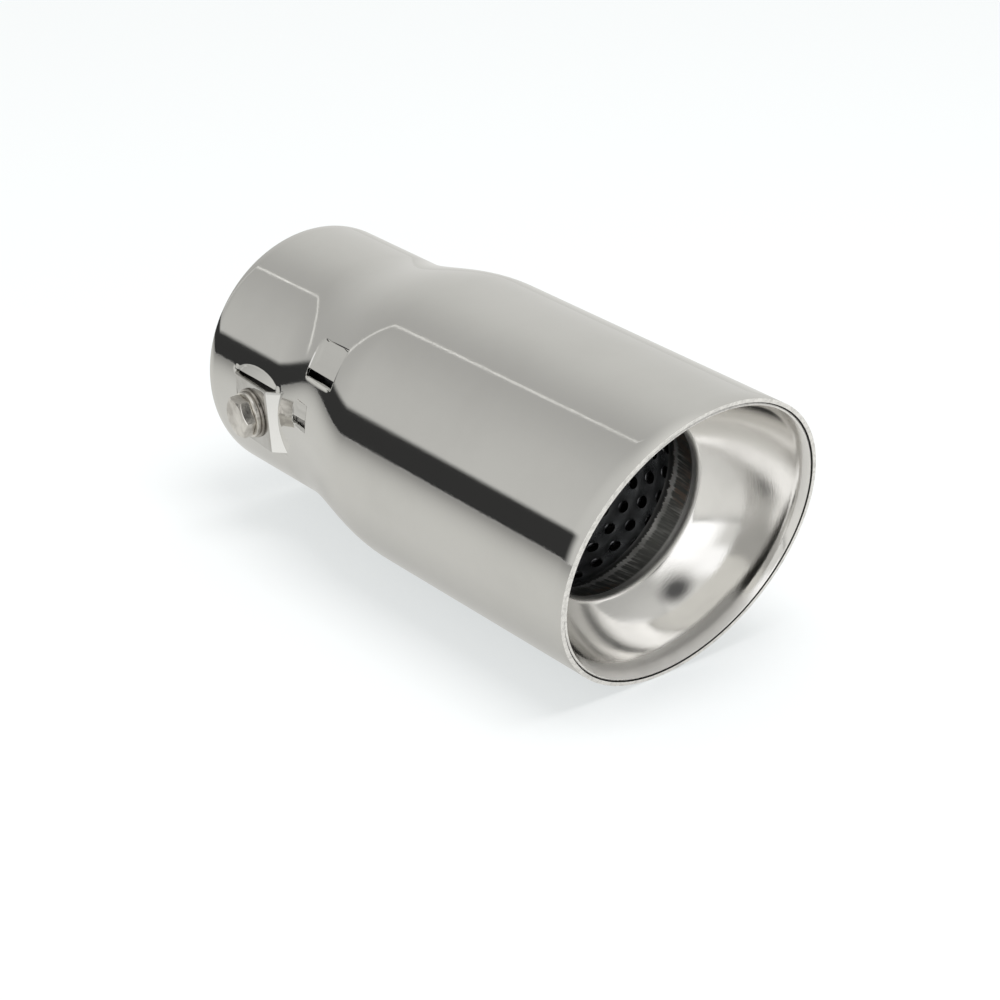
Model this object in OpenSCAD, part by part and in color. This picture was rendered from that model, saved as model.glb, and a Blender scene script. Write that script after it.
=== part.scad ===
// Slant-cut exhaust tip: a polished shell with a swaged neck, a pressed outlet
// bowl, a perforated core and a clamp bolt on a strip lanced out of the neck.
// X runs from the inlet mouth to the outlet rim and Z is up, as the tip lies.
// Angles round the pipe start at the top and turn towards -Y.

/* [Shell] */
// Outside diameter of the body
body_od = 76.2; // [74:0.1:90]
// Outside diameter of the neck
neck_od = 65.5; // [60:0.1:68]
// Thickness of the shell's sheet
shell_sheet = 1; // [0.8:0.1:1.4]
// Length of the straight neck
neck_len = 29.5; // [29:0.5:40]
// Length of the swaged flare from the neck to the body
flare_len = 37.5; // [30:0.5:45]
// Length of the body from the flare to the middle of the slanted rim
body_len = 85.9; // [75:0.1:120]

/* [Rim] */
// Slant of the rim away from a square cut
rim_slant = 16; // [8:1:20]
// Angle round the pipe of the rim's longest side
rim_turn = 12; // [0:1:90]

/* [Outlet bowl] */
// Thickness of the bowl's sheet
bowl_sheet = 0.7; // [0.5:0.1:1]
// Depth of the straight lip inside the rim
lip_depth = 5.4; // [4:0.1:8]
// Distance from the rim's middle back to the throat
throat_depth = 26.4; // [24:0.1:32]
// Inside radius of the throat
throat_r = 23.5; // [21:0.1:24.5]
// Radius of the rounding over the throat
throat_round = 2.7; // [1.5:0.1:3.5]
// Angle between the dish and its straight chord, from the throat to the lip
dish_angle = 16.6; // [10:0.1:22]
// Slant of the throat
throat_slant = 7.5; // [3:0.5:9]
// Length of the collar behind the throat
collar_len = 12; // [9:0.5:16]
// Slant of the collar's inner end
collar_slant = 6; // [0:0.5:7]

/* [Perforated core] */
// Inside diameter of the core
core_id = 52.2; // [50:0.1:56]
// Thickness of the core's sheet
core_sheet = 1; // [0.8:0.1:1.2]
// Length of the core that laps over the bowl's collar
core_lap = 4; // [3:0.5:6]
// Distance from the end of the neck to the core's bell mouth
bell_inset = 2.5; // [2:0.5:5]
// Length of the bell's straight lip
bell_lip = 4; // [3:0.5:5]
// Length of the bell's taper
bell_taper = 13; // [10:0.5:18]
// Diameter of each perforation
hole_d = 3; // [2:0.1:3.5]
// Number of holes in each ring
holes_around = 26; // [20:1:28]
// Spacing of the rings of holes along the core
ring_pitch = 5.2; // [4.6:0.1:8]
// Distance from the core's end to the first ring
ring_margin = 6.2; // [5.5:0.1:8]

/* [Clamp strip] */
// Distance from the inlet mouth to the bolt
clamp_x = 21.8; // [20:0.1:24]
// Angle round the neck of the bolt
clamp_angle = 95; // [45:1:180]
// Length of the strip along the neck
strip_len = 20; // [18:0.5:22]
// Width of the strip round the neck
strip_w = 16.4; // [15:0.1:18]
// Tilt of the strip, rising towards the outlet
strip_tilt = 4; // [0:0.5:5]
// Slope of the bends at the strip's ends
bend_slope = 45; // [35:1:60]
// Width of the slit between the strip and the flared lip beside it
slit_gap = 0.6; // [0.2:0.1:1]
// Widest reach of the flared lip beside each slit
slit_lip_w = 2.2; // [1.5:0.1:3]
// Tilt of the flared lip away from the neck
slit_lip_tilt = 24; // [10:1:30]

/* [Clamp fasteners] */
// Nominal diameter of the bolt
bolt_d = 6; // [5:0.5:6]
// Width of the bolt head across its flats
bolt_af = 9.5; // [8:0.5:10]
// Height of the bolt head
bolt_head_h = 3.1; // [3:0.1:4]
// Outside diameter of the spring washer
spring_washer_od = 11.8; // [10:0.1:12]
// Thickness of the spring washer
spring_washer_t = 1.2; // [1:0.1:1.6]
// Outside diameter of the flat washer
flat_washer_od = 12.8; // [11:0.1:13]
// Thickness of the flat washer
flat_washer_t = 0.8; // [0.8:0.1:1.6]
// Thickness of the sheet nut under the strip
nut_t = 0.7; // [0.5:0.05:1.5]
// Side of the square sheet nut
nut_w = 10; // [8.5:0.5:11]

/* [Pressed lugs] */
// Start, length along the pipe, upper and lower angle and greatest depth of the wide lug
wide_lug = [43, 15, 49.3, 63.3, 3];
// Start, length along the pipe, upper and lower angle and greatest depth of the narrow lug
narrow_lug = [39.8, 8, 77.8, 85.6, 1.4];
// Extra depth of a lug's floor at its cut edge
lug_fall = 0.5; // [0.4:0.1:1.2]
// Width of the slot along a lug's cut edge
lug_slot = 2; // [0.5:0.1:2.5]

/* [Fits] */
// Clearance between pieces that fit together
fit_gap = 0.1; // [0.05:0.01:0.2]
// Clearance of the bolt in the holes that it passes through
bolt_gap = 0.3; // [0.2:0.05:0.5]

/* [Hidden] */
$fn = 96;

body_r = body_od / 2;
neck_r = neck_od / 2;
bore_r = neck_r - shell_sheet;
flare_end = neck_len + flare_len;
rim_x = flare_end + body_len;
reach = 2 * body_od;
flare_steps = 16;

// Bowl, measured back from the rim
lip_out_r = body_r - shell_sheet - fit_gap;
lip_in_r = lip_out_r - bowl_sheet;
crease_x = rim_x - lip_depth;
throat_x = rim_x - throat_depth;
collar_x = throat_x - collar_len;
collar_in_r = core_id / 2 - fit_gap - bowl_sheet;
collar_steps = 3;
throat_steps = 5;
dish_steps = 9;
bowl_facets = 64;

// Core, from its bell in the neck to its lap on the collar
core_in_r = core_id / 2;
core_out_r = core_in_r + core_sheet;
core_end = collar_x + core_lap;
bell_x = neck_len + bell_inset;
bell_out_r = bore_r - fit_gap;
core_start = bell_x + bell_lip + bell_taper;
ring_count = floor((core_end - ring_margin - core_start - hole_d) / ring_pitch) + 1;
hole_step = 360 / holes_around;

// Clamp stack: the nut lies clear of the bore, and the strip is pressed out to hold it
nut_z = bore_r + fit_gap + nut_w / 2 * sin(strip_tilt);
strip_face = nut_z + nut_t + shell_sheet;
strip_rise = strip_face - neck_r;
flat_washer_z = strip_face;
spring_washer_z = flat_washer_z + flat_washer_t;
bolt_head_z = spring_washer_z + spring_washer_t;
bolt_tip_z = bore_r + fit_gap + bolt_d / 2 * sin(strip_tilt);
window_len = strip_len - 2 * shell_sheet;
bolt_corner_r = bolt_af / 2 / cos(30);
lens_r = (pow(window_len / 2, 2) + pow(slit_lip_w, 2)) / (2 * slit_lip_w);
lip_turn = asin((strip_w / 2 + slit_gap + slit_lip_w / 2) / neck_r);
lip_root = shell_sheet / 5;
lip_z = sqrt(pow(neck_r, 2) - pow(slit_lip_w / 2, 2)) - lip_root / 4;
lip_sheet = 0.7 * shell_sheet;

// Outside radius of the shell at a distance from the inlet
function shell_r(x) =
    let (t = min(1, max(0, (x - neck_len) / flare_len)))
    neck_r + (body_r - neck_r) * (1 - cos(180 * t)) / 2;

// Stations along the shell, close together only in the flare
shell_stations = concat(
    [0],
    [for (i = [0 : flare_steps]) neck_len + flare_len * i / flare_steps],
    [rim_x + reach / 4]);

// Turn a piece to an angle round the pipe, counted from the top towards -Y
module round_pipe(angle) {
    rotate([angle, 0, 0]) children();
}

// A body of revolution about the pipe from points given as [x, radius]
module turned(points) {
    rotate([0, 90, 0])
        rotate_extrude()
            polygon([for (p = points) [p[1], p[0]]]);
}

// Everything beyond the slanted plane of the rim
module beyond_rim() {
    translate([rim_x, 0, 0])
        round_pipe(rim_turn)
            rotate([0, rim_slant, 0])
                translate([0, -reach, -reach])
                    cube([reach, 2 * reach, 2 * reach]);
}

// The shell before it is cut and pressed
module shell_wall() {
    turned(concat(
        [for (x = shell_stations) [x, shell_r(x)]],
        [for (i = [len(shell_stations) - 1 : -1 : 0])
            [shell_stations[i], shell_r(shell_stations[i]) - shell_sheet]]));
}

// The solid inside the shell's outer face, which trims what is pressed from it
module shell_envelope() {
    turned(concat([[0, 0]],
        [for (x = shell_stations) [x, shell_r(x)]],
        [[rim_x + reach / 4, 0]]));
}

// The bolt's own place: origin on the axis of the pipe, Z out along the bolt
module on_bolt() {
    translate([clamp_x, 0, 0])
        round_pipe(clamp_angle)
            translate([0, 0, strip_face])
                rotate([0, -strip_tilt, 0])
                    translate([0, 0, -strip_face])
                        children();
}

// The same place without the strip's tilt
module on_clamp() {
    translate([clamp_x, 0, 0])
        round_pipe(clamp_angle)
            children();
}

// The middle of the flared lip on one side of the strip: Z out of the neck, Y away from the strip
module on_lip(side) {
    on_clamp()
        mirror([0, side < 0 ? 1 : 0, 0])
            round_pipe(-lip_turn)
                children();
}

// Outline of a slit's flared lip: a shallow arc over the slit's straight edge
module slit_lens(edge, grow) {
    intersection() {
        translate([0, slit_lip_w / 2 - lens_r, 0])
            cylinder(h = neck_od, r = lens_r + grow);
        translate([-window_len / 2, edge, 0])
            cube([window_len, reach, neck_od]);
    }
}

// The neck's edge beside a slit, bent outward by the press and running out at the slit's ends
module slit_lip() {
    rise = tan(slit_lip_tilt);
    drop = lip_sheet / cos(slit_lip_tilt);
    intersection() {
        translate([0, slit_lip_w / 2 - lens_r, lip_z])
            rotate_extrude()
                polygon([[lens_r + lip_root, -lip_root * rise],
                         [lens_r + lip_root, -lip_root * rise - drop],
                         [lens_r - 2 * slit_lip_w, 2 * slit_lip_w * rise - drop],
                         [lens_r - 2 * slit_lip_w, 2 * slit_lip_w * rise]]);
        slit_lens(-slit_lip_w / 2, lip_root / 2);
    }
}

// The lanced strip with its two sloping end bends, over the open bore
module clamp_strip() {
    flat_half = strip_len / 2 - shell_sheet - strip_rise;
    drop = strip_face - bore_r + shell_sheet;
    run = drop / tan(bend_slope);
    difference() {
        on_bolt()
            translate([0, strip_w / 2, strip_face])
                rotate([90, 0, 0])
                    linear_extrude(strip_w)
                        polygon([[-flat_half, 0], [flat_half, 0],
                                 [flat_half + run, -drop],
                                 [flat_half + run - shell_sheet / sin(bend_slope), -drop],
                                 [flat_half - shell_sheet * tan(bend_slope / 2), -shell_sheet],
                                 [-flat_half + shell_sheet * tan(bend_slope / 2), -shell_sheet],
                                 [-flat_half - run + shell_sheet / sin(bend_slope), -drop],
                                 [-flat_half - run, -drop]]);
        turned([[-reach, 0], [-reach, bore_r], [reach, bore_r], [reach, 0]]);
    }
}

// Distance of a lug's floor from the axis, and the floor's width round the pipe
function lug_floor_r(lug) = shell_r(lug[0] + lug[1]) - lug[4];
function lug_width(lug) = 2 * lug_floor_r(lug) * sin((lug[3] - lug[2]) / 2);

// The place of a lug: origin on the cut edge of its floor, Y up the floor and Z out of it
module on_lug(lug) {
    width = lug_width(lug);
    round_pipe((lug[2] + lug[3]) / 2)
        translate([lug[0], width / 2, lug_floor_r(lug)])
            rotate([asin(lug_fall / width), 0, 0])
                translate([0, -width, 0])
                    children();
}

// Block that holds a lug's floor and its joins to the wall, one sheet thick all round
module lug_block(lug) {
    on_lug(lug)
        translate([-shell_sheet, 0, -shell_sheet])
            cube([lug[1] + 2 * shell_sheet, lug_width(lug) + shell_sheet, body_r]);
}

// Pocket over a lug's flat floor, and the slot through the wall along its cut edge
module lug_cut(lug) {
    on_lug(lug)
        translate([0, -lug_slot, 0]) {
            cube([lug[1], lug_width(lug) + lug_slot, body_r]);
            translate([0, 0, -2 * shell_sheet])
                cube([lug[1], lug_slot, body_r]);
        }
}

module outer_shell() {
    color("silver")
    difference() {
        union() {
            difference() {
                shell_wall();
                beyond_rim();
                on_clamp()
                    translate([-window_len / 2, -strip_w / 2 - slit_gap, 0])
                        cube([window_len, strip_w + 2 * slit_gap, neck_od]);
                for (side = [-1, 1])
                    on_lip(side) slit_lens(-slit_lip_w, 0);
            }
            clamp_strip();
            for (side = [-1, 1])
                on_lip(side) slit_lip();
            for (lug = [wide_lug, narrow_lug])
                intersection() {
                    lug_block(lug);
                    shell_envelope();
                }
        }
        for (lug = [wide_lug, narrow_lug])
            lug_cut(lug);
        on_bolt()
            translate([0, 0, bore_r])
                cylinder(h = neck_od, d = bolt_d + 2 * bolt_gap);
    }
}

// Half-section of the bowl's polished face as [x, radius, direction, slant]
function throat_point(a) =
    [throat_x + throat_round * sin(a), throat_r + throat_round * (1 - cos(a))];
dish_lead = atan2(lip_in_r - throat_r, crease_x - throat_x) + dish_angle;
dish_start = throat_point(dish_lead);
dish_chord = [crease_x - dish_start[0], lip_in_r - dish_start[1]];
dish_lie = atan2(dish_chord[1], dish_chord[0]);
dish_end_angle = 2 * dish_lie - dish_lead;
dish_r = norm(dish_chord) / (2 * sin(dish_lead - dish_lie));
collar_lie = atan2(throat_r - collar_in_r, collar_len);
bowl_section = concat(
    [for (i = [0 : collar_steps - 1])
        let (t = i / collar_steps)
        [collar_x + collar_len * t, collar_in_r + (throat_r - collar_in_r) * t,
         collar_lie * (1 - t), collar_slant + (throat_slant - collar_slant) * t]],
    [for (i = [0 : throat_steps])
        let (a = dish_lead * i / throat_steps, p = throat_point(a))
        [p[0], p[1], a, throat_slant]],
    [for (i = [1 : dish_steps])
        let (t = i / dish_steps, a = dish_lead + (dish_end_angle - dish_lead) * t)
        [dish_start[0] + dish_r * (sin(dish_lead) - sin(a)),
         dish_start[1] + dish_r * (cos(a) - cos(dish_lead)),
         i < dish_steps ? a : 0, throat_slant + (rim_slant - throat_slant) * t]],
    [[rim_x, lip_in_r, 0, rim_slant]]);

// One ring of points on a station, slanted so that its long side is at angle 0
function slanted_ring(station, thickness) =
    let (x = station[0] - thickness * sin(station[2]),
         r = station[1] + thickness * cos(station[2]),
         s = tan(station[3]))
    [for (i = [0 : bowl_facets - 1])
        let (a = 360 * i / bowl_facets)
        [x + s * r * cos(a), -r * sin(a), r * cos(a)]];

module outlet_bowl() {
    count = len(bowl_section);
    rings = concat(
        [for (i = [0 : count - 1]) slanted_ring(bowl_section[i], 0)],
        [for (i = [count - 1 : -1 : 0]) slanted_ring(bowl_section[i], bowl_sheet)]);
    color("gainsboro")
    round_pipe(rim_turn)
        polyhedron(
            points = [for (ring = rings) for (p = ring) p],
            faces = [for (k = [0 : 2 * count - 1]) for (i = [0 : bowl_facets - 1])
                let (next = (k + 1) % (2 * count), j = (i + 1) % bowl_facets,
                     a = k * bowl_facets + i, b = k * bowl_facets + j,
                     c = next * bowl_facets + j, d = next * bowl_facets + i)
                each [[a, b, c], [a, c, d]]]);
}

module perforated_core() {
    color("dimgray")
    difference() {
        turned([[bell_x, bell_out_r], [bell_x + bell_lip, bell_out_r],
                [core_start, core_out_r], [core_end, core_out_r],
                [core_end, core_in_r], [core_start, core_in_r],
                [bell_x + bell_lip, bell_out_r - core_sheet],
                [bell_x, bell_out_r - core_sheet]]);
        for (ring = [0 : ring_count - 1])
            translate([core_end - ring_margin - ring * ring_pitch, 0, 0])
                for (i = [0 : holes_around - 1])
                    round_pipe(hole_step * (i + (ring % 2) / 2))
                        translate([0, 0, core_in_r - core_sheet])
                            cylinder(h = 3 * core_sheet, d = hole_d, $fn = 24);
    }
}

module clamp_bolt() {
    color("lightsteelblue")
    on_bolt() {
        translate([0, 0, bolt_tip_z])
            cylinder(h = bolt_head_z + bolt_head_h / 2 - bolt_tip_z, d = bolt_d);
        translate([0, 0, bolt_head_z])
            intersection() {
                cylinder(h = bolt_head_h, r = bolt_corner_r, $fn = 6);
                cylinder(h = 2 * bolt_head_h, r1 = bolt_corner_r + bolt_head_h,
                         r2 = bolt_af / 2 - bolt_head_h);
            }
    }
}

module spring_washer() {
    color("gray")
    on_bolt()
        translate([0, 0, spring_washer_z])
            difference() {
                cylinder(h = spring_washer_t, d = spring_washer_od);
                translate([0, 0, -fit_gap])
                    cylinder(h = spring_washer_t + 2 * fit_gap, d = bolt_d + bolt_gap);
                rotate([0, 0, 200])
                    rotate([30, 0, 0])
                        translate([0, -fit_gap, -spring_washer_t])
                            cube([spring_washer_od, 4 * fit_gap, 4 * spring_washer_t]);
            }
}

module flat_washer() {
    color("darkgray")
    on_bolt()
        translate([0, 0, flat_washer_z])
            difference() {
                cylinder(h = flat_washer_t, d = flat_washer_od);
                translate([0, 0, -fit_gap])
                    cylinder(h = flat_washer_t + 2 * fit_gap, d = bolt_d + bolt_gap);
            }
}

module clamp_nut() {
    color("slategray")
    on_bolt()
        translate([0, 0, nut_z])
            difference() {
                translate([-nut_w / 2, -nut_w / 2, 0])
                    cube([nut_w, nut_w, nut_t]);
                translate([0, 0, -fit_gap])
                    cylinder(h = nut_t + 2 * fit_gap, d = bolt_d + fit_gap);
            }
}

outer_shell();
outlet_bowl();
perforated_core();
clamp_bolt();
spring_washer();
flat_washer();
clamp_nut();
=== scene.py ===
# %% [markdown]
# # A slant-cut exhaust tip
#
# The object is a bolt-on exhaust tip pressed from polished stainless sheet. A neck slips over the
# tail pipe and one bolt clamps it, the shell flares out to a wide body, and a pressed bowl and a
# dark perforated core close the outlet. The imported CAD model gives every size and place. This
# lesson builds smooth, finely divided meshes of the same forms round it, because polished metal
# shows every facet, and then gives each piece its own finish.

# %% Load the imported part
import math

import bmesh
import bpy
import numpy as np
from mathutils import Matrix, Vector


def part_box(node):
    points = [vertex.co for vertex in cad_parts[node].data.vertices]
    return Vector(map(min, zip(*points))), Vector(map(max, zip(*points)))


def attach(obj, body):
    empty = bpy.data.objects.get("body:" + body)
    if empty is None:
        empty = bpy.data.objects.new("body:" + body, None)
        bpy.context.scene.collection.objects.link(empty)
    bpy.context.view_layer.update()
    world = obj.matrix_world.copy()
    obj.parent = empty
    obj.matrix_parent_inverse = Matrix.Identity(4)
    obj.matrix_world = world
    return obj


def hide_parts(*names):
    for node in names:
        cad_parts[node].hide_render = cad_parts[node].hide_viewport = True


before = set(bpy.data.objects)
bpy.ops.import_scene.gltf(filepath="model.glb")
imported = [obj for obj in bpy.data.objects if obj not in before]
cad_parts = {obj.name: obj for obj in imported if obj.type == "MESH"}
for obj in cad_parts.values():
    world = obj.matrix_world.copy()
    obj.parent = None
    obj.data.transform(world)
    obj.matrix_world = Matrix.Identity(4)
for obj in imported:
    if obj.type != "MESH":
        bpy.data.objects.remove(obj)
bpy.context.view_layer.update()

# %% [markdown]
# ## Sizes
#
# All sizes are in millimetres and become metres only when a mesh is made. X runs from the neck's
# mouth to the outlet and Z is up. Angles round the pipe start at the top and turn towards -Y,
# which is the side with the bolt. The shell's radius and length are read from the frame.

# %% Main sizes
MM = 0.001
shell_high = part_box("outer_shell")[1]
body_r = shell_high.z / MM
neck_r, sheet = 32.75, 1.0
bore_r = neck_r - sheet
neck_len, flare_len = 29.5, 37.5
flare_end = neck_len + flare_len
rim_slant, rim_turn = math.radians(16), math.radians(12)
rim_x = shell_high.x / MM - body_r * math.tan(rim_slant)
throat_depth, throat_slant = 26.4, math.radians(7.5)
throat_x = rim_x - throat_depth
lip_depth = 3.0
crease_x = rim_x - lip_depth
print(f"body radius {body_r:.2f}, middle of the rim at x = {rim_x:.2f} mm")

# %% Soft steps and places round the pipe
def ease(t):
    """A soft step from 0 to 1."""
    t = np.clip(t, 0, 1)
    return t * t * (3 - 2 * t)


def place(x, radius, angle):
    """Points of the pipe's frame from a distance, a radius and an angle round the pipe."""
    return np.stack(np.broadcast_arrays(x, -radius * np.sin(angle), radius * np.cos(angle)), -1)


def slanted(x, slant, y, z):
    """Distance along the pipe of a slanted plane that crosses its axis at x."""
    return x + math.tan(slant) * (z * math.cos(rim_turn) - y * math.sin(rim_turn))


print("a step of 0.5 eases to", float(ease(0.5)))

# %% [markdown]
# ## Turning grids into meshes
#
# Nearly every piece here is a grid of points that closes round an axis. One helper skins such a
# grid with quads, another skins an open patch, and a third joins several skins into one. The last
# gives a finished mesh its smooth shading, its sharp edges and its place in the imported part.

# %% Skins over grids of points
def skin(points, rows_close):
    """Quads over a grid of points (rows, columns, 3) whose columns close round."""
    rows, columns = points.shape[:2]
    index = np.arange(rows * columns).reshape(rows, columns)
    lower = index if rows_close else index[:-1]
    upper = np.roll(index, -1, 0) if rows_close else index[1:]
    quads = np.stack([lower, np.roll(lower, -1, 1), np.roll(upper, -1, 1), upper], -1)
    return points.reshape(-1, 3), quads.reshape(-1, 4).tolist()


def open_skin(points):
    """Quads over a grid of points that closes in neither direction."""
    rows, columns = points.shape[:2]
    index = np.arange(rows * columns).reshape(rows, columns)
    quads = np.stack([index[:-1, :-1], index[1:, :-1], index[1:, 1:], index[:-1, 1:]], -1)
    return points.reshape(-1, 3), quads.reshape(-1, 4).tolist()


def joined(parts):
    """One list of points and one of faces from several (points, faces) pairs."""
    points, faces, base = [], [], 0
    for more_points, more_faces in parts:
        points.append(more_points)
        faces += [[base + v for v in face] for face in more_faces]
        base += len(more_points)
    return np.concatenate(points), faces


print("helpers: skin, open_skin, joined")

# %% Mesh objects
def make_object(name, points, faces, finishes=(), closed=False):
    """A mesh object from points in millimetres; a closed body gets its faces turned outward."""
    mesh = bpy.data.meshes.new(name)
    mesh.from_pydata((np.asarray(points) * MM).tolist(), [], faces)
    mesh.validate()
    for finish in finishes:
        mesh.materials.append(finish)
    made = bpy.data.objects.new(name, mesh)
    bpy.context.scene.collection.objects.link(made)
    if closed:
        turn_outward(made)
    return made


def turn_outward(piece, weld=0.0):
    """Welds points that coincide and turns all faces outward."""
    body = bmesh.new()
    body.from_mesh(piece.data)
    if weld:
        bmesh.ops.remove_doubles(body, verts=body.verts, dist=weld * MM)
    bmesh.ops.recalc_face_normals(body, faces=body.faces)
    body.to_mesh(piece.data)
    body.free()


def apply_modifiers(piece):
    """Bakes the piece's modifiers into its mesh."""
    bpy.context.view_layer.update()
    graph = bpy.context.evaluated_depsgraph_get()
    baked = bpy.data.meshes.new_from_object(piece.evaluated_get(graph))
    piece.modifiers.clear()
    piece.data = baked


print("helpers: make_object, turn_outward, apply_modifiers")

# %% Sheet thickness, soft edges and seating
def thicken(piece, even):
    """Adds the sheet's thickness to a skin, inward from its face, and returns the modifier."""
    thick = piece.modifiers.new("sheet", "SOLIDIFY")
    thick.thickness, thick.offset, thick.use_even_offset = sheet * MM, -1, even
    return thick


def soften(piece, width, angle, segments=2):
    """Rounds the edges sharper than an angle, as tumbling and polishing do."""
    edge = piece.modifiers.new("soft_edges", "BEVEL")
    edge.width, edge.segments, edge.limit_method = width * MM, segments, "ANGLE"
    edge.angle_limit, edge.use_clamp_overlap = math.radians(angle), True
    apply_modifiers(piece)


def seat(piece, cad_node, sharp=35):
    """Shades the piece smooth and lets it stand for its CAD node."""
    piece.data.shade_smooth()
    piece.data.set_sharp_from_angle(angle=math.radians(sharp))
    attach(piece, "root")
    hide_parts(cad_node)
    corners = np.array([list(corner) for corner in piece.bound_box]) / MM
    size = " x ".join(f"{v:.1f}" for v in corners.max(0) - corners.min(0))
    print(piece.name, len(piece.data.polygons), "faces,", size, "mm")


print("helpers: thicken, soften, seat")

# %% [markdown]
# ## Camera
#
# The camera stands high on the bolt side, in front of the outlet, with a long lens, so the pipe
# is seen three-quarters on with little perspective.

# %% Camera
camera_place = Vector((0.6507, -0.4254, 0.3061))
camera_turn, camera_dip = math.radians(53.28), math.radians(24.29)
camera = bpy.data.objects.new("camera", bpy.data.cameras.new("camera"))
camera.location = camera_place
camera.rotation_euler = (math.pi / 2 - camera_dip, 0, camera_turn)
camera.data.sensor_width = 36
camera.data.lens = 114.53
camera.data.clip_start, camera.data.clip_end = 0.01, 20
bpy.context.scene.collection.objects.link(camera)
bpy.context.scene.camera = camera
print("camera", [round(v, 3) for v in camera.location], "lens", camera.data.lens)

# %% [markdown]
# ## Light
#
# Polished steel looks like what stands round it. Product photographers put such a part in a
# tent of pale cloth, and the places where the cloth ends are what draw its form: here a dark gap
# at the height of the horizon on the bolt side, and a thin bright seam between two sheets. In
# front of the outlet a softbox lights the bowl and a dark stand shows in it as a spot. The
# world's shader paints that tent by direction, and the camera itself sees plain white behind.

# %% Node tools
def fresh_tree(owner):
    """Turns on the nodes of a world or material and empties its tree."""
    owner.use_nodes = True
    owner.node_tree.nodes.clear()
    return owner.node_tree


def node(tree, kind, inputs=None, **settings):
    """Adds a node; inputs maps a socket to a value, or to another node's output."""
    made = tree.nodes.new(kind)
    for key, value in settings.items():
        setattr(made, key, value)
    for key, value in (inputs or {}).items():
        if isinstance(value, bpy.types.NodeSocket):
            tree.links.new(value, made.inputs[key])
        else:
            made.inputs[key].default_value = value
    return made


def maths(tree, operation, *values):
    return node(tree, "ShaderNodeMath", dict(enumerate(values)), operation=operation).outputs[0]


def step(tree, value, start, end, low=0.0, high=1.0):
    """A soft step of a value between two limits."""
    return node(tree, "ShaderNodeMapRange", {
        "Value": value, "From Min": start, "From Max": end, "To Min": low, "To Max": high,
    }, interpolation_type="SMOOTHSTEP").outputs["Result"]


print("node tools: fresh_tree, node, maths, step")

# %% Masks and colours
def overlap(tree, first, *others):
    """Where all masks hold."""
    for other in others:
        first = maths(tree, "MULTIPLY", first, other)
    return first


def window(tree, value, rise, fall):
    """A mask that rises softly over one span of a value and falls over another."""
    return overlap(tree, step(tree, value, *rise), step(tree, value, *fall, 1.0, 0.0))


def mix(tree, factor, a, b):
    """Blends two colours."""
    made = node(tree, "ShaderNodeMix", data_type="RGBA")
    for socket, value in ((made.inputs[0], factor), (made.inputs[6], a), (made.inputs[7], b)):
        if isinstance(value, bpy.types.NodeSocket):
            tree.links.new(value, socket)
        else:
            socket.default_value = value
    return made.outputs[2]


def grey(value, tint=(1, 1, 1)):
    return (value * tint[0], value * tint[1], value * tint[2], 1)


print("a warm grey:", grey(0.5, (1.0, 0.995, 0.965)))

# %% Directions in the tent
world = bpy.data.worlds.new("tent")
bpy.context.scene.world = world
tent = fresh_tree(world)
warm = (1.0, 0.995, 0.965)
way = node(tent, "ShaderNodeSeparateXYZ", {
    0: node(tent, "ShaderNodeTexCoord").outputs["Generated"]})
to_neck, to_bolt = (maths(tent, "MULTIPLY", way.outputs[axis], -1.0) for axis in (0, 1))
# Azimuth in degrees from -X towards -Y, from -180 to 180 and from 0 to 360, and height
azimuth = maths(tent, "DEGREES", maths(tent, "ARCTAN2", to_bolt, to_neck))
round_way = maths(tent, "FLOORED_MODULO", azimuth, 360.0)
height = maths(tent, "DEGREES", maths(tent, "ARCSINE", way.outputs[2]))


def off(value, middle):
    """Distance of a value from a middle."""
    return maths(tent, "ABSOLUTE", maths(tent, "SUBTRACT", value, middle))


def line(value, factor, start):
    """A straight line over a value, for edges that lean."""
    return maths(tent, "ADD", maths(tent, "MULTIPLY", value, factor), start)


def hang(behind, mask, brightness, tint=(1, 1, 1)):
    """Hangs a sheet of one brightness in the tent where a mask holds."""
    return mix(tent, mask, behind, grey(brightness, tint))


print("directions: azimuth, round_way, height")

# %% Cloth behind and above, with its bright seam
cloth = mix(tent, step(tent, off(azimuth, 10.0), 0.0, 48.0), grey(0.56, warm), grey(0.78, warm))
cloth = hang(cloth, step(tent, height, 45.0, 75.0), 1.0, warm)
seam_place = line(height, -0.27, 20.2)
seam = overlap(tent, step(tent, off(azimuth, seam_place), 0.2, 0.6, 1.0, 0.0),
               window(tent, height, (5.0, 12.0), (42.0, 50.0)))
cloth = hang(cloth, seam, 1.3, warm)
print("cloth and seam")

# %% The tent in front of the outlet
far_side = step(tent, round_way, 174.0, 188.0)
front = mix(tent, far_side, grey(0.72, warm), grey(0.44, warm))
front = hang(front, overlap(tent, far_side, step(tent, height, 15.0, 60.0)), 0.62, warm)
past_start = maths(tent, "SUBTRACT", round_way, line(height, 0.5, 121.0))
past_end = maths(tent, "SUBTRACT", round_way, line(height, 1.1, 148.0))
softbox = overlap(tent, step(tent, past_start, -9.0, 7.0),
                  step(tent, past_end, -4.0, 12.0, 1.0, 0.0),
                  window(tent, height, (-24.0, -10.0), (20.0, 34.0)))
front = hang(front, softbox, 1.3)
upper_box = overlap(tent, window(tent, round_way, (104.0, 114.0), (126.0, 160.0)),
                    window(tent, height, (8.0, 18.0), (30.0, 44.0)))
front = hang(front, upper_box, 1.15)
print("softboxes in front")


# %% Stand and roof in front
def reach_from(value, middle, reach):
    """Squared distance from a middle, in parts of a reach."""
    return maths(tent, "POWER", maths(tent, "DIVIDE", off(value, middle), reach), 2.0)


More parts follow.
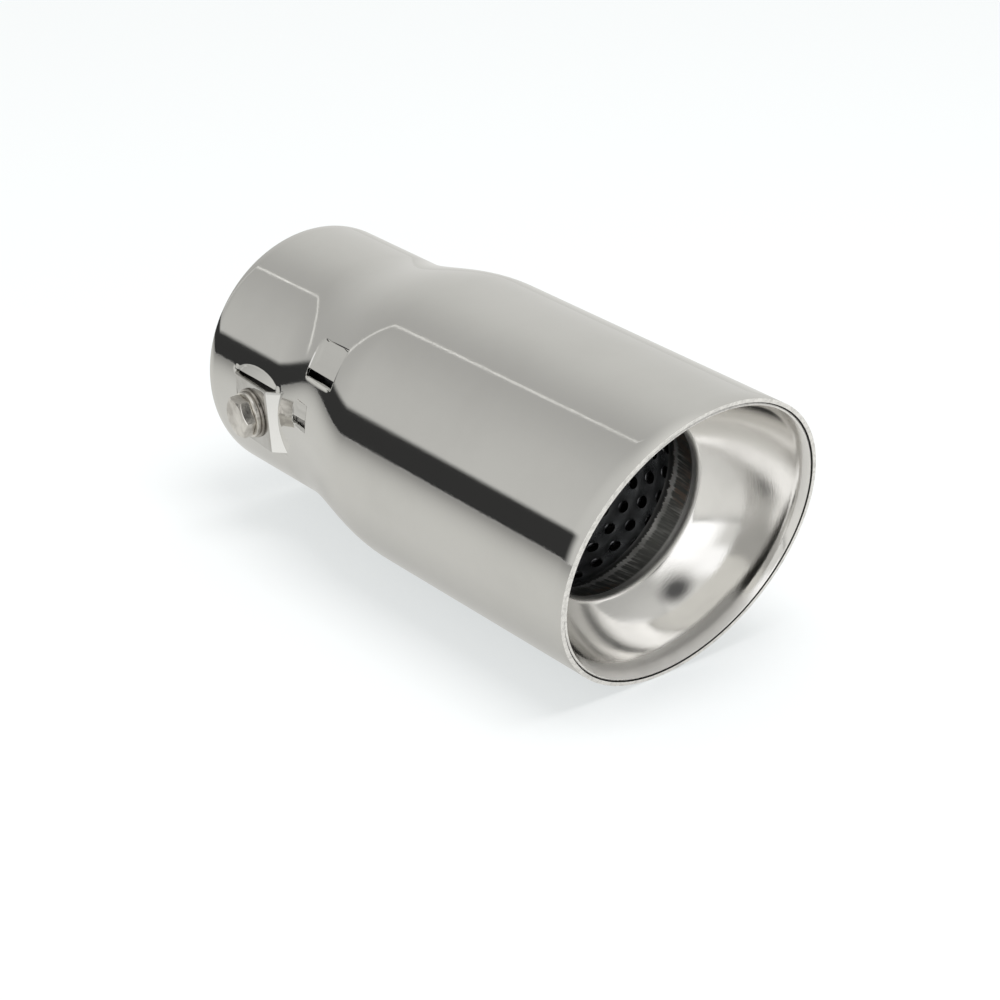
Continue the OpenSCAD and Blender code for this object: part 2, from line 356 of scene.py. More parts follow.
stand = maths(tent, "SQRT", maths(tent, "ADD", reach_from(round_way, 160.0, 22.0),
                                  reach_from(height, 46.0, 12.5)))
front = hang(front, step(tent, stand, 0.3, 1.4, 1.0, 0.0), 0.09)
above_edge = maths(tent, "SUBTRACT", height, line(round_way, -0.75, 219.75))
roof = overlap(tent, step(tent, above_edge, -8.0, 8.0), step(tent, round_way, 190.0, 210.0))
front = hang(front, roof, 1.15)
print("stand and roof in front")

# %% Dark gap and white backdrop
in_front = window(tent, round_way, (92.0, 106.0), (255.0, 275.0))
gap = overlap(tent, step(tent, height, 2.5, 5.5, 1.0, 0.0),
              window(tent, azimuth, (4.0, 12.0), (47.0, 62.0)))
whole_tent = hang(mix(tent, in_front, cloth, front), gap, 0.045)
seen = node(tent, "ShaderNodeLightPath").outputs["Is Camera Ray"]
background = node(tent, "ShaderNodeBackground", {
    "Color": mix(tent, seen, whole_tent, grey(1.0)), "Strength": 1.0})
node(tent, "ShaderNodeOutputWorld", {"Surface": background.outputs[0]})
print("tent nodes:", len(tent.nodes))

# %% [markdown]
# ## Floor
#
# The part lies on a sheet of paper whose front edge ends a hand's length before it. In the polish
# the paper glows with light of its own, which lightens its shadow there, and it carries painted
# shade towards that edge and a painted highlight as a thin bright line along it; the dark gap of
# the tent shows beyond it. The camera sees the paper a little cool and lifted nearly to white by
# light of its own, and the part's soft shadow stays.

# %% Floor sheet
floor_z = -body_r
floor_front = -205.0
corners = [(-1200, floor_front), (1500, floor_front), (1500, 1500), (-1200, 1500)]
floor = make_object("floor", [(x, y, floor_z) for x, y in corners], [(0, 1, 2, 3)])
print("floor at z =", floor_z)

# %% Paper with painted shade and a painted bright line at its front edge
paper = bpy.data.materials.new("white_paper")
tree = fresh_tree(paper)
spot = node(tree, "ShaderNodeSeparateXYZ", {0: node(tree, "ShaderNodeTexCoord").outputs["Object"]})
from_edge = maths(tree, "SUBTRACT", spot.outputs[1], floor_front * MM)
pale = step(tree, from_edge, 0.0, 0.14)
paper_edge_painted_highlight = step(tree, from_edge, 0.0, 0.004, 1.0, 0.0)
# Paper as the polish sees it: painted shade towards the front edge, and a glow of its own
mirrored_tone = mix(tree, pale, grey(0.13, warm), grey(0.27, warm))
mirrored_glow = mix(tree, pale, grey(0.22, warm), grey(0.48, warm))
# Painted highlight: a thin bright line along the paper's front edge
mirrored_glow = mix(tree, paper_edge_painted_highlight, mirrored_glow, grey(0.9))
seen = node(tree, "ShaderNodeLightPath").outputs["Is Camera Ray"]
diffuse = node(tree, "ShaderNodeBsdfDiffuse", {"Color": mix(tree, seen, mirrored_tone, grey(0.44))})
lift = node(tree, "ShaderNodeEmission", {
    "Color": mix(tree, seen, mirrored_glow, (0.525, 0.548, 0.556, 1)), "Strength": 1.0})
shader = node(tree, "ShaderNodeAddShader", {0: diffuse.outputs[0], 1: lift.outputs[0]})
node(tree, "ShaderNodeOutputMaterial", {"Surface": shader.outputs[0]})
floor.data.materials.append(paper)
print("paper front edge at y =", floor_front, "mm")

# %% Soft lamp above
lamp = bpy.data.objects.new("top_softbox", bpy.data.lights.new("top_softbox", "AREA"))
lamp.data.shape, lamp.data.size, lamp.data.size_y = "RECTANGLE", 0.5, 0.35
lamp.data.energy = 4.0
lamp.visible_glossy = False
lamp.location = (0.35, -0.05, 0.85)
lamp_aim = Vector((0.1, 0, 0))
lamp.rotation_euler = (lamp_aim - lamp.location).to_track_quat("-Z", "Y").to_euler()
bpy.context.scene.collection.objects.link(lamp)
bpy.context.scene.view_settings.view_transform = "Standard"
print("lamp energy", lamp.data.energy, "W")

# %% [markdown]
# ## Finishes
#
# Polished stainless isn't a perfect mirror. Buffing leaves hair-fine lines, and handling leaves
# faint smears, so the roughness wanders a little. Both effects are node groups that give only
# values, and each material sets them its own way.

# %% Grain and smear groups
def value_group(name, inputs, outputs):
    """An empty group with named sockets, and its first and last nodes."""
    made = bpy.data.node_groups.new(name, "ShaderNodeTree")
    for label, start in inputs:
        socket = made.interface.new_socket(label, in_out="INPUT", socket_type="NodeSocketFloat")
        socket.default_value = start
    for label in outputs:
        made.interface.new_socket(label, in_out="OUTPUT", socket_type="NodeSocketFloat")
    return made, node(made, "NodeGroupInput"), node(made, "NodeGroupOutput")


def noise(tree, vector, scale, detail=2.0, roughness=0.5):
    return node(tree, "ShaderNodeTexNoise", {
        "Vector": vector, "Scale": scale, "Detail": detail, "Roughness": roughness}).outputs["Fac"]


hair, start, end = value_group(
    "hair_lines", [("Along", 1.0), ("Across", 1.0), ("Low", 0.0), ("High", 1.0)], ["Lines"])
spot = node(hair, "ShaderNodeTexCoord").outputs["Object"]
stretch = node(hair, "ShaderNodeCombineXYZ", {
    0: start.outputs["Along"], 1: start.outputs["Across"], 2: start.outputs["Across"]}).outputs[0]
drawn = node(hair, "ShaderNodeVectorMath", {0: spot, 1: stretch}, operation="MULTIPLY").outputs[0]
lines = noise(hair, drawn, 1.0, 3.0, 0.6)
hair.links.new(step(hair, lines, 0.3, 0.7, start.outputs["Low"], start.outputs["High"]),
               end.inputs["Lines"])

smear, start, end = value_group("smears", [("Size", 20.0)], ["Smear"])
spot = node(smear, "ShaderNodeTexCoord").outputs["Object"]
smear.links.new(step(smear, noise(smear, spot, start.outputs["Size"], 4.0, 0.6), 0.35, 0.75),
                end.inputs["Smear"])
print("groups:", [g.name for g in bpy.data.node_groups])


# %% A metal with lines and smears
def group_in(tree, group, **values):
    """Places a group in a tree with its own values."""
    made = node(tree, "ShaderNodeGroup", node_tree=group)
    for key, value in values.items():
        made.inputs[key].default_value = value
    return made.outputs[0]


def steel_shader(tree, colour, rough, height, bump, depth):
    """Ends a material's tree in a metal whose bump has a strength and a depth in metres."""
    bumped = node(tree, "ShaderNodeBump", {
        "Strength": bump, "Distance": depth, "Height": height}).outputs["Normal"]
    shader = node(tree, "ShaderNodeBsdfPrincipled", {
        "Base Color": colour, "Metallic": 1.0, "Roughness": rough, "Normal": bumped})
    node(tree, "ShaderNodeOutputMaterial", {"Surface": shader.outputs[0]})


def metal(name, clean, smeared, rough, along, across, bump, smear_size=30.0):
    """A metal that wanders from clean to smeared; along and across scale its hair-fine lines."""
    made = bpy.data.materials.new(name)
    tree = fresh_tree(made)
    fine = group_in(tree, hair, Along=along, Across=across)
    dirt = group_in(tree, smear, Size=smear_size)
    roughness = maths(tree, "ADD", step(tree, dirt, 0.0, 1.0, *rough),
                      maths(tree, "MULTIPLY", fine, 0.03))
    steel_shader(tree, mix(tree, dirt, clean, smeared), roughness, fine, bump, 0.02 * MM)
    return made


print("makers: group_in, steel_shader, metal")

# %% Steel finishes
polished = metal("polished_steel", (0.66, 0.655, 0.635, 1), (0.63, 0.625, 0.605, 1),
                 rough=(0.015, 0.05), along=300.0, across=6000.0, bump=0.04)
# Unpolished inner side of the sheet, coloured nearly black as painted shade; it also lines the
# slits
inner_skin_painted_shade = metal("mill_finish_painted_shade", (0.07, 0.068, 0.065, 1), (0.04, 0.039, 0.038, 1),
                   rough=(0.45, 0.60), along=800.0, across=800.0, bump=0.2, smear_size=60.0)
# Ground finish of the rim's face; its colour is raised near white as painted light, where it
# reflects shadow
ground_edge_painted_light = metal("ground_edge_painted_light", (0.98, 0.97, 0.95, 1), (0.70, 0.695, 0.68, 1),
                    rough=(0.25, 0.45), along=2600.0, across=2600.0, bump=0.6, smear_size=900.0)
# Painted highlight: the strip's bend towards the outlet is coloured almost white for the light it
# catches
bend_painted_highlight = metal("bend_painted_highlight", (0.98, 0.98, 0.97, 1), (0.94, 0.94, 0.93, 1),
                    rough=(0.05, 0.10), along=6000.0, across=300.0, bump=0.05)
lanced_steel = metal("lanced_steel", (0.56, 0.555, 0.54, 1), (0.42, 0.41, 0.39, 1),
                     rough=(0.06, 0.14), along=900.0, across=2500.0, bump=0.12, smear_size=160.0)
pan_steel = metal("pan_steel", (0.45, 0.445, 0.43, 1), (0.36, 0.355, 0.345, 1),
                  rough=(0.45, 0.60), along=900.0, across=900.0, bump=0.2, smear_size=90.0)
core_steel = metal("blackened_steel", (0.26, 0.27, 0.28, 1), (0.14, 0.14, 0.15, 1),
                   rough=(0.26, 0.42), along=900.0, across=900.0, bump=0.15, smear_size=90.0)
plain_steel = metal("zinc_steel", (0.74, 0.72, 0.68, 1), (0.46, 0.44, 0.41, 1),
                    rough=(0.10, 0.24), along=1500.0, across=1500.0, bump=0.35, smear_size=220.0)
dark_washer = metal("dark_washer", (0.42, 0.40, 0.37, 1), (0.24, 0.22, 0.20, 1),
                    rough=(0.10, 0.20), along=1500.0, across=1500.0, bump=0.25, smear_size=220.0)
print("steels:", [m.name for m in bpy.data.materials if m.name.endswith("steel")])

# %% [markdown]
# The bowl is one pressing with several finishes. Its dish is bright, the turn of the throat is
# satin, the wheel misses the lower part of the crease, and the collar behind the throat is
# scorched and scratched by hand tools. A ragged band in patches near the collar's end is a
# painted highlight, and beyond it the collar is painted nearly black as painted shade. The finish
# has to know where it is, so it measures distances from the same slanted planes as the mesh.

# %% Places on the bowl
def along_slant(tree, xyz, slant):
    """Distance along the pipe in millimetres, as if the slanted rings stood square to it."""
    lean = math.tan(slant)
    up = maths(tree, "MULTIPLY", xyz[2], -lean * math.cos(rim_turn))
    aside = maths(tree, "MULTIPLY", xyz[1], lean * math.sin(rim_turn))
    square = maths(tree, "ADD", xyz[0], maths(tree, "ADD", up, aside))
    return maths(tree, "DIVIDE", square, MM)


def streaks(tree, xyz):
    """Scratches that run along the pipe, close together round it."""
    turn = maths(tree, "ARCTAN2", xyz[1], xyz[2])
    spot = node(tree, "ShaderNodeCombineXYZ", {
        0: maths(tree, "MULTIPLY", xyz[0], 90.0),
        1: maths(tree, "MULTIPLY", maths(tree, "SINE", turn), 34.0),
        2: maths(tree, "MULTIPLY", maths(tree, "COSINE", turn), 34.0)}).outputs[0]
    return noise(tree, spot, 1.0, 3.0, 0.65)


print("the crease lies at x =", round(crease_x, 2), "mm")

# %% Scorched collar
def collar_colour(tree, spot, depth, streak):
    """Dark scorched sheet with scratches and rust, a painted highlight near its end and painted
    shade beyond it.
    """
    wander = maths(tree, "MULTIPLY", maths(tree, "SUBTRACT", streak, 0.5), 3.2)
    ragged = maths(tree, "ADD", depth, wander)
    patchy = step(tree, noise(tree, spot, 55.0, 2.0), 0.40, 0.62, 0.15, 1.0)
    scratched = overlap(tree, step(tree, streak, 0.42, 0.72), patchy)
    rusty = overlap(tree, step(tree, noise(tree, spot, 70.0, 2.0), 0.54, 0.66),
                    step(tree, streak, 0.4, 0.6))
    # Painted highlight: a ragged bright band near the collar's end, where its edge catches the
    # light
    collar_painted_highlight = overlap(tree, window(tree, ragged, (7.0, 7.9), (9.0, 9.7)), patchy)
    # Painted shade: the collar turns nearly black beyond that band, like the dark inside of the
    # core
    collar_painted_shade = step(tree, ragged, 9.2, 9.8)
    colour = mix(tree, scratched, (0.20, 0.20, 0.19, 1), (0.92, 0.91, 0.88, 1))
    colour = mix(tree, maths(tree, "MULTIPLY", rusty, 0.8), colour, (0.36, 0.23, 0.16, 1))
    # The near-white and the near-black colours below are the painted highlight and the painted
    # shade
    colour = mix(tree, collar_painted_highlight, colour, (0.95, 0.94, 0.92, 1))
    return mix(tree, collar_painted_shade, colour, (0.05, 0.05, 0.05, 1))


print("collar colours ready")

# %% Bowl finish
bowl_polish = bpy.data.materials.new("bowl_polish")
tree = fresh_tree(bowl_polish)
spot = node(tree, "ShaderNodeTexCoord").outputs["Object"]
xyz = node(tree, "ShaderNodeSeparateXYZ", {0: spot}).outputs
depth = maths(tree, "SUBTRACT", throat_x, along_slant(tree, xyz, throat_slant))
streak = streaks(tree, xyz)
collar = step(tree, depth, 0.9, 2.0)
dirt = group_in(tree, smear, Size=60.0)
dish_colour = mix(tree, dirt, (0.85, 0.84, 0.82, 1), (0.80, 0.79, 0.77, 1))
bowl_colour = mix(tree, collar, dish_colour, collar_colour(tree, spot, depth, streak))

from_turn = maths(tree, "ABSOLUTE", maths(tree, "ADD", depth, 0.2))
past_dish = step(tree, along_slant(tree, xyz, rim_slant), crease_x - 4.0, crease_x - 1.0)
low_down = step(tree, xyz[2], -27 * MM, -21 * MM, 1.0, 0.0)
bowl_rough = step(tree, dirt, 0.0, 1.0, 0.10, 0.19)
for more in (step(tree, from_turn, 0.9, 1.9, 0.34, 0.0),
             maths(tree, "MULTIPLY", overlap(tree, past_dish, low_down), 0.42),
             maths(tree, "MULTIPLY", collar, 0.22)):
    bowl_rough = maths(tree, "ADD", bowl_rough, more)

fine = group_in(tree, hair, Along=2500.0, Across=500.0)
scratches = maths(tree, "ADD", maths(tree, "MULTIPLY", fine, 0.5), overlap(tree, collar, streak))
steel_shader(tree, bowl_colour, bowl_rough, scratches, 0.12, 0.06 * MM)
print("bowl finish nodes:", len(tree.nodes))

# %% [markdown]
# ## Shell
#
# The shell is one sheet of steel: neck, flare and body, with two lugs pressed in behind the bolt.
# It is made as one fine grid of points round the pipe. Each cell of the grid belongs to the wall
# or to a lug, and where neighbours don't meet at the same height the grid tears open, just as
# the press shears the sheet. Cells inside a slot or under the clamp strip are left out.

# %% Shell profile and clamp sizes
def shell_r(x):
    """Outer radius of the shell: neck, flare and body."""
    t = np.clip((x - neck_len) / flare_len, 0, 1)
    return neck_r + (body_r - neck_r) * (1 - np.cos(math.pi * t)) / 2


clamp_x, clamp_angle = 21.8, math.radians(95)
strip_len, strip_w, strip_tilt = 20.0, 16.4, math.radians(4)
bend_slope, bend_r = math.radians(43), 2.4
nut_t, nut_w = 0.7, 10.0
strip_face = bore_r + 0.1 + nut_w / 2 * math.sin(strip_tilt) + nut_t + sheet
window_half = strip_len / 2 - sheet
flat_half = window_half - (strip_face - neck_r)
print(f"strip face at radius {strip_face:.2f} mm")

# %% Sizes of the lips and lugs
# Flared lips beside the strip: gap at the ends, deepest reach of the arc, width, tilt, the soft
# bend at their root, and the width over which the grid finds back to its even spacing
end_gap, arc_reach = 0.3, 0.5
lip_w, lip_tilt, lip_bend, lip_fade = 2.6, math.radians(24), 0.7, 8.0
slit_edge = neck_r * math.asin((strip_w / 2 + end_gap) / neck_r)
# Small curls at the ends of the slits: rise, size and place past the strip's window
curl_rise, curl_size, curl_past = 0.55, 0.75, 0.4

# Pressed lugs: start, length, upper and lower angle, floor depth
lugs = {"wide": (43, 15, 49.3, 63.3, 3.0), "narrow": (39.8, 8, 77.8, 85.6, 1.4)}
# Fall of a lug's floor, width of its slot, width of its steep sides, and its faint dish:
# depth, distance from the lug's edge and run-in
lug_fall, lug_slot, lug_bend = 0.5, 2.0, 0.2
lug_dish, dish_inset, dish_run = 0.05, 1.2, 1.4
# Raised edge under each slot: rise, width and run-out at its ends
edge_rise, edge_w, edge_runout = 0.28, 0.9, 2.0
# The sheet left behind the narrow lug's slot is pushed in by little more than its thickness
pan_depth = 1.15
slot_angle = {name: lug[3] + math.degrees(lug_slot / shell_r(lug[0])) for name, lug in lugs.items()}
print("slots end at", {name: round(float(v), 1) for name, v in slot_angle.items()}, "degrees")


# %% Wall of the shell
def bow(x):
    """From 0 at the strip's ends to 1 at its middle."""
    return np.clip(1 - ((x - clamp_x) / window_half) ** 2, 0, 1)


def drawn_aside(x, angle):
    """Grid angles, moved so that one grid line follows the arc of each flared lip."""
    turn = (angle - clamp_angle) * neck_r
    away = np.abs(turn)
    moved = away + arc_reach * bow(x) * np.clip(1 - (away - slit_edge) / lip_fade, 0, 1)
    return np.where(away >= slit_edge - 0.01, clamp_angle + np.sign(turn) * moved / neck_r, angle)


def wall_points(x, angle):
    """The wall, with the lips that the press flared out and the raised edges under the slots."""
    away = np.abs(angle - clamp_angle) * neck_r - slit_edge - arc_reach * bow(x)
    inside = np.clip(lip_w * np.sqrt(bow(x)) - away, 0, None) * (away > -0.2)
    lift = inside * math.tan(lip_tilt) * ease(inside / lip_bend)
    for end in (-1, 1):
        aside = np.hypot(x - clamp_x - end * (window_half + curl_past), away)
        lift = lift + curl_rise * np.exp(-(aside / curl_size) ** 2)
    for name, lug in lugs.items():
        under = (np.degrees(angle) - slot_angle[name]) * math.pi / 180 * shell_r(x)
        inner = ease((x - lug[0]) / edge_runout) * ease((lug[0] + lug[1] - x) / edge_runout)
        lift = lift + edge_rise * inner * np.clip(1 - under / edge_w, 0, 1) ** 2 * (under > -0.01)
    return place(x, shell_r(x) + lift, angle)


print("lip beside the strip lies", round(slit_edge, 2), "mm from its middle, along the neck's wall")


# %% Floor of a lug
def lug_points(x, angle, lug):
    """A lug's floor: nearly flat, sunk, and steep at its two ends and its upper side."""
    start, length, upper, lower, depth = lug
    middle = math.radians((upper + lower) / 2)
    floor_r = shell_r(start + length) - depth
    width = 2 * floor_r * math.sin(math.radians(lower - upper) / 2)
    radius = shell_r(x)
    across, out = radius * np.sin(angle - middle), radius * np.cos(angle - middle)
    floor = floor_r - (across + width / 2) * lug_fall / width
    rim = np.minimum(np.minimum(x - start, start + length - x), across + width / 2)
    dish = lug_dish * ease((np.minimum(rim, width / 2 - across) - dish_inset) / dish_run)
    sunk = out + (np.minimum(floor, out) - out) * ease(rim / lug_bend) - dish * (out > floor)
    return place(x, np.hypot(across, sunk), middle + np.arctan2(across, sunk))


print("lugs:", list(lugs))


# %% Shell grid
def lines_between(low, high, pitch, exact=()):
    """Grid lines at about one pitch, and also exactly at the given places."""
    regular = np.linspace(low, high, max(2, round((high - low) / pitch) + 1))
    kept = [v for v in regular if all(abs(v - e) > pitch * 0.4 for e in exact)]
    return np.array(sorted(set(kept) | set(exact)))


exact_angles = [math.degrees(clamp_angle + side * slit_edge / neck_r) for side in (-1, 1)]
exact_x = [clamp_x - window_half, clamp_x + window_half]
for name, lug in lugs.items():
    exact_angles += [lug[2], lug[3], float(slot_angle[name])]
    exact_x += [lug[0], lug[0] + lug[1]]
around = np.radians(np.concatenate([lines_between(46, 124, 0.5, exact_angles),
                                    lines_between(124, 406, 2.4)[1:-1]]))
along = np.concatenate([[0, 2, 4, 6], lines_between(8, 60, 0.4, exact_x),
                        np.linspace(61, flare_end, 8), np.linspace(70, 136, 18)])
ends = slanted(rim_x, rim_slant, -body_r * np.sin(around), body_r * np.cos(around))
last = along[-1] + np.linspace(0, 1, 6)[1:, None] * (ends - along[-1])[None]
x_grid = np.concatenate([np.repeat(along[:, None], len(around), 1), last])
a_grid = drawn_aside(x_grid, np.repeat(around[None], len(x_grid), 0))
print("grid", x_grid.shape)

# %% Which tool forms which cell
zones = {"wall": wall_points(x_grid, a_grid),
         "pan": place(x_grid, shell_r(x_grid) - pan_depth, a_grid)}
for name, lug in lugs.items():
    zones[name] = lug_points(x_grid, a_grid, lug)


def zone_of(x, angle):
    """The zone of a cell, from the cell's middle; None where the sheet is cut away."""
    degrees = math.degrees(angle)
    for name, lug in lugs.items():
        if lug[0] < x < lug[0] + lug[1] and lug[2] < degrees < slot_angle[name]:
            if degrees < lug[3]:
                return name
            return "pan" if name == "narrow" else None
    if abs(angle - clamp_angle) * neck_r < slit_edge and abs(x - clamp_x) < window_half:
        return None
    return "wall"


print("zones:", list(zones))

# %% Skin the cells, torn where their zones don't meet
weld_reach = 0.02
index, points, faces, pans = {}, [], [], []
rows, columns = x_grid.shape
for i in range(rows - 1):
    for j in range(columns):
        k = (j + 1) % columns
        step_round = (around[k] - around[j]) % (2 * math.pi)
        zone = zone_of((x_grid[i, j] + x_grid[i + 1, j]) / 2, around[j] + step_round / 2)
        if zone is None:
            continue
        pans += [len(faces)] if zone == "pan" else []
        face = []
        for a, b in ((i, j), (i, k), (i + 1, k), (i + 1, j)):
            apart = np.linalg.norm(zones[zone][a, b] - zones["wall"][a, b])
            layer = "wall" if apart < weld_reach else zone
            if (a, b, layer) not in index:
                index[a, b, layer] = len(points)
                points.append(zones[layer][a, b])
            face.append(index[a, b, layer])
        faces.append(face)
print("shell sheet", len(points), "points")

# %% Shell mesh
shell = make_object("shell", points, faces, (polished, inner_skin_painted_shade, ground_edge_painted_light, pan_steel))
for n in pans:
    shell.data.polygons[n].material_index = 3
# The shell's inner faces get the unpolished sheet, coloured nearly black as painted shade
thicken(shell, even=False).material_offset = 1
apply_modifiers(shell)


def grind_rim(piece, slot):
    """Gives the faces that lie in the rim's plane the ground finish, coloured near white as painted
    light, in a material slot.
    """
    for face in piece.data.polygons:
        spot = face.center / MM
        in_plane = abs(spot.x - slanted(rim_x, rim_slant, spot.y, spot.z)) < 0.3
        if in_plane and face.normal.x > 0.7:
            face.material_index = slot


# The sheet was thickened square to its face, so its end is set back onto the rim's plane
co = np.array([v.co for v in shell.data.vertices]) / MM
plane = slanted(rim_x, rim_slant, co[:, 1], co[:, 2])
near = np.abs(co[:, 0] - plane) < 0.8
co[near, 0] = plane[near]
shell.data.vertices.foreach_set("co", (co * MM).ravel())
soften(shell, 0.12, 50)
grind_rim(shell, 2)
seat(shell, "outer_shell")

# %% [markdown]
# ## Clamp strip
#
# The strip that carries the bolt is lanced out of the neck. It runs flat under the bolt, bends
# down at both ends and dives back into the wall, so its outline is one bent line, repeated
# across its width and given the sheet's thickness. The neck is round, so each line of the strip
# ends where it meets the wall. The bend towards the outlet is coloured almost white, a painted
# highlight for the light it catches.

# %% Bent line of the strip
def bent_line(depth):
    """The strip's outer face from end to end, as (along, height) in the bolt's own frame."""
    turn_len = bend_r * math.tan(bend_slope / 2)
    half = [(t, 0.0) for t in np.linspace(0, flat_half - turn_len, 9)]
    half += [(flat_half - turn_len + bend_r * math.sin(a), -bend_r * (1 - math.cos(a)))
             for a in np.linspace(0, bend_slope, 7)[1:]]
    x, z = half[-1]
    half += [(x + t / math.tan(bend_slope), z - t) for t in np.linspace(0, depth + z, 7)[1:]]
    half = np.array(half)
    return np.concatenate([half[:0:-1] * [-1, 1], half])


def on_neck(along, across, out):
    """Points of the pipe's frame from the clamp's own: along the neck, across it and out of it."""
    return np.stack(np.broadcast_arrays(
        clamp_x + along,
        across * math.cos(clamp_angle) - out * math.sin(clamp_angle),
        across * math.sin(clamp_angle) + out * math.cos(clamp_angle)), -1)


# The line runs on well below the neck's face, and its ends are cut just inside the wall
line_dive, foot_depth = 2.4, 0.35
flat_line = bent_line(strip_face - neck_r + line_dive)
cos_tilt, sin_tilt = math.cos(strip_tilt), math.sin(strip_tilt)
tilted = np.stack([flat_line[:, 0] * cos_tilt - flat_line[:, 1] * sin_tilt,
                   flat_line[:, 0] * sin_tilt + flat_line[:, 1] * cos_tilt], -1)
print("strip line:", len(tilted), "points")

# %% Strip mesh
grid = []
steep = np.where(tilted[:, 0] > 0,
                 math.tan(bend_slope - strip_tilt), math.tan(bend_slope + strip_tilt))
for across in np.linspace(-strip_w / 2, strip_w / 2, 29):
    foot = math.sqrt((neck_r - foot_depth) ** 2 - across ** 2) - strip_face
    low = np.maximum(tilted[:, 1], foot)
    run_on = (foot - tilted[:, 1]) / steep * np.sign(tilted[:, 0])
    shift = np.where(tilted[:, 1] < foot, run_on, 0)
    grid.append(on_neck(tilted[:, 0] - shift, across, strip_face + low))
strip = make_object("clamp_strip", *open_skin(np.array(grid)), (lanced_steel, bend_painted_highlight))
turn_outward(strip, 0.005)
strip_middle = Vector(on_neck(0, 0, strip_face) * MM)
middle_face = min(strip.data.polygons, key=lambda face: (face.center - strip_middle).length)
if middle_face.normal.dot(Vector(on_neck(0, 0, 1) - on_neck(0, 0, 0))) < 0:
    strip.data.flip_normals()
# The bend towards the outlet gets the painted highlight
for face in strip.data.polygons:
    if face.center.x / MM > clamp_x + flat_half - 0.2:
        face.material_index = 1
thicken(strip, even=True)
apply_modifiers(strip)
soften(strip, 0.22, 50, 3)
seat(strip, "outer_shell")

# %% [markdown]
# The slits beside the strip open into the dark inside of the neck. Two narrow strips of unpolished
# sheet, coloured nearly black as painted shade for that dark inside, lie under them, inside the
# thickness of the wall, so that no daylight from the open inlet shows through.

# %% Painted shade under the slits beside the strip
# Reach past a slit's ends, its outer edge and its inner edge, and lift off the bore
past_ends, past_outer, past_inner, off_bore = 0.3, 0.8, 2.2, 0.12
floor_half = window_half + past_ends
parts = []
for side in (-1, 1):
    spots = []
    for x in np.linspace(clamp_x - floor_half, clamp_x + floor_half, 40):
        outer = slit_edge + arc_reach * float(bow(x)) + past_outer
        turns = clamp_angle + side * np.linspace(slit_edge - past_inner, outer, 7) / neck_r
        spots.append(place(x, bore_r + off_bore, turns))
    parts.append(open_skin(np.array(spots)))
# The strips are nearly black, painted shade for the dark inside of the neck
slit_painted_shade = make_object("slit_painted_shade", *joined(parts), (inner_skin_painted_shade,))
seat(slit_painted_shade, "outer_shell")

# %% [markdown]
# ## Outlet bowl
#
# The bowl is pressed from thinner sheet. A short lip flares out to the slanted rim, the dish
# narrows from a crease to a rounded throat, and a collar runs back to the core. Its rings lean
# less and less from the rim to the throat, so it is lofted: each ring has its own radius and its
# own slant.

# %% Bowl sizes
bowl_sheet, bowl_gap = 0.7, 0.03
lip_in_r = body_r - sheet - bowl_gap - bowl_sheet
throat_r, throat_round = 23.5, 2.7
lip_root_slope, lip_end_slope = math.tan(math.radians(14)), math.tan(math.radians(33))
crease_r = lip_in_r - lip_depth * (lip_root_slope + lip_end_slope) / 2
collar_len, collar_in_r, collar_slant = 12.0, 25.3, math.radians(6)
collar_x = throat_x - collar_len
dish_lead = math.radians(45)
print(f"crease radius {crease_r:.2f}, throat radius {throat_r:.2f} mm")


# %% Bowl section
def bowl_profile():
    """Stations of the bowl's inner face: distance, radius, direction and slant."""
    stations = []
    lie = math.atan2(throat_r - collar_in_r, collar_len)
    for t in np.linspace(0, 1, 12)[:-1]:
        stations.append((collar_x + collar_len * t, collar_in_r + (throat_r - collar_in_r) * t,
                         lie * (1 - float(ease(t))),
                         collar_slant + (throat_slant - collar_slant) * t))
    for a in np.linspace(0, dish_lead, 16):
        stations.append((throat_x + throat_round * math.sin(a),
                         throat_r + throat_round * (1 - math.cos(a)), a, throat_slant))
    x0, r0 = stations[-1][:2]
    chord = math.atan2(crease_r - r0, crease_x - x0)
    end_angle = 2 * chord - dish_lead
    radius = math.hypot(crease_x - x0, crease_r - r0) / (2 * math.sin(dish_lead - chord))
    for t in np.linspace(0, 1, 41)[1:]:
        a = dish_lead + (end_angle - dish_lead) * t
        stations.append((x0 + radius * (math.sin(dish_lead) - math.sin(a)),
                         r0 + radius * (math.cos(a) - math.cos(dish_lead)),
                         a, throat_slant + (rim_slant - throat_slant) * t))
    # At the crease the sheet's direction is halved, so its outer face stays clear of a fold
    stations[-1] = (*stations[-1][:2], stations[-1][2] / 2, stations[-1][3])
    for t in np.linspace(0, 1, 9)[1:]:
        slope = lip_root_slope + (lip_end_slope - lip_root_slope) * t
        rise = lip_depth * t * (lip_root_slope + slope) / 2
        stations.append((crease_x + lip_depth * t, crease_r + rise, math.atan(slope), rim_slant))
    return np.array(stations)


section = bowl_profile()
print("bowl stations:", len(section))

# %% Bowl loft
turns = np.linspace(0, 2 * math.pi, 256, endpoint=False)


def bowl_ring(stations, thickness):
    """Rings of the bowl's inner face, or of its outer face at a thickness."""
    x = stations[:, 0] - thickness * np.sin(stations[:, 2])
    r = stations[:, 1] + thickness * np.cos(stations[:, 2])
    lean = np.tan(stations[:, 3])[:, None] * r[:, None] * np.cos(turns)[None]
    return place(x[:, None] + lean, r[:, None], turns[None] + rim_turn)


rings = np.concatenate([bowl_ring(section, 0), bowl_ring(section[::-1], bowl_sheet)], 0)
bowl = make_object("bowl", *skin(rings, True), (bowl_polish, ground_edge_painted_light), closed=True)
soften(bowl, 0.05, 60)
grind_rim(bowl, 1)
seat(bowl, "outlet_bowl")

